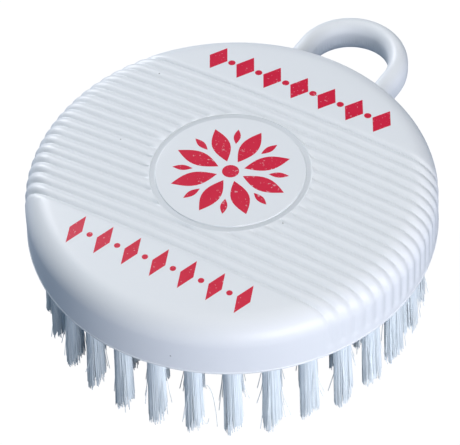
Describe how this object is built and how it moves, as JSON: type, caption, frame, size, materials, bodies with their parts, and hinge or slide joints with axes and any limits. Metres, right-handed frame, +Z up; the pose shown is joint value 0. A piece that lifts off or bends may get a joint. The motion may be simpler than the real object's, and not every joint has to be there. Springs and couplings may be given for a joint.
{
  "type": "mushroom brush",
  "caption": "Round palm-held cleaning brush: a ribbed, slightly domed cap with a fixed hanging loop, over a plate set with rings of short bristle tufts.",
  "frame": {"origin": "on the brush's axis, on the level plane that the bristle tips stand on", "axes": "+Z up along the cap's axis, +Y towards the hanging loop, X along the grip ribs"},
  "size_m": [0.065, 0.0785, 0.028],
  "materials": {
    "cap_plastic": "glossy",
    "plate_plastic": "satin",
    "bristle_nylon": "translucent extruded filament"
  },
  "bodies": {
    "root": {"ribbed_cap": "cap_plastic", "tuft_plate": "plate_plastic", "tuft_centre": "bristle_nylon", "tuft_outer_01": "bristle_nylon", "tuft_outer_02": "bristle_nylon", "tuft_outer_03": "bristle_nylon", "tuft_outer_04": "bristle_nylon", "tuft_outer_05": "bristle_nylon", "tuft_outer_06": "bristle_nylon", "tuft_outer_07": "bristle_nylon", "tuft_outer_08": "bristle_nylon", "tuft_outer_09": "bristle_nylon", "tuft_outer_10": "bristle_nylon", "tuft_outer_11": "bristle_nylon", "tuft_outer_12": "bristle_nylon", "tuft_outer_13": "bristle_nylon", "tuft_outer_14": "bristle_nylon", "tuft_outer_15": "bristle_nylon", "tuft_outer_16": "bristle_nylon", "tuft_outer_17": "bristle_nylon", "tuft_outer_18": "bristle_nylon", "tuft_outer_19": "bristle_nylon", "tuft_outer_20": "bristle_nylon", "tuft_outer_21": "bristle_nylon", "tuft_outer_22": "bristle_nylon", "tuft_outer_23": "bristle_nylon", "tuft_outer_24": "bristle_nylon", "tuft_outer_25": "bristle_nylon", "tuft_outer_26": "bristle_nylon", "tuft_outer_27": "bristle_nylon", "tuft_outer_28": "bristle_nylon", "tuft_outer_29": "bristle_nylon", "tuft_outer_30": "bristle_nylon", "tuft_second_01": "bristle_nylon", "tuft_second_02": "bristle_nylon", "tuft_second_03": "bristle_nylon", "tuft_second_04": "bristle_nylon", "tuft_second_05": "bristle_nylon", "tuft_second_06": "bristle_nylon", "tuft_second_07": "bristle_nylon", "tuft_second_08": "bristle_nylon", "tuft_second_09": "bristle_nylon", "tuft_second_10": "bristle_nylon", "tuft_second_11": "bristle_nylon", "tuft_second_12": "bristle_nylon", "tuft_second_13": "bristle_nylon", "tuft_second_14": "bristle_nylon", "tuft_second_15": "bristle_nylon", "tuft_second_16": "bristle_nylon", "tuft_second_17": "bristle_nylon", "tuft_second_18": "bristle_nylon", "tuft_second_19": "bristle_nylon", "tuft_second_20": "bristle_nylon", "tuft_second_21": "bristle_nylon", "tuft_second_22": "bristle_nylon", "tuft_second_23": "bristle_nylon", "tuft_second_24": "bristle_nylon", "tufts_third_ring": "bristle_nylon", "tufts_fourth_ring": "bristle_nylon", "tufts_fifth_ring": "bristle_nylon"}
  },
  "joints": []
}
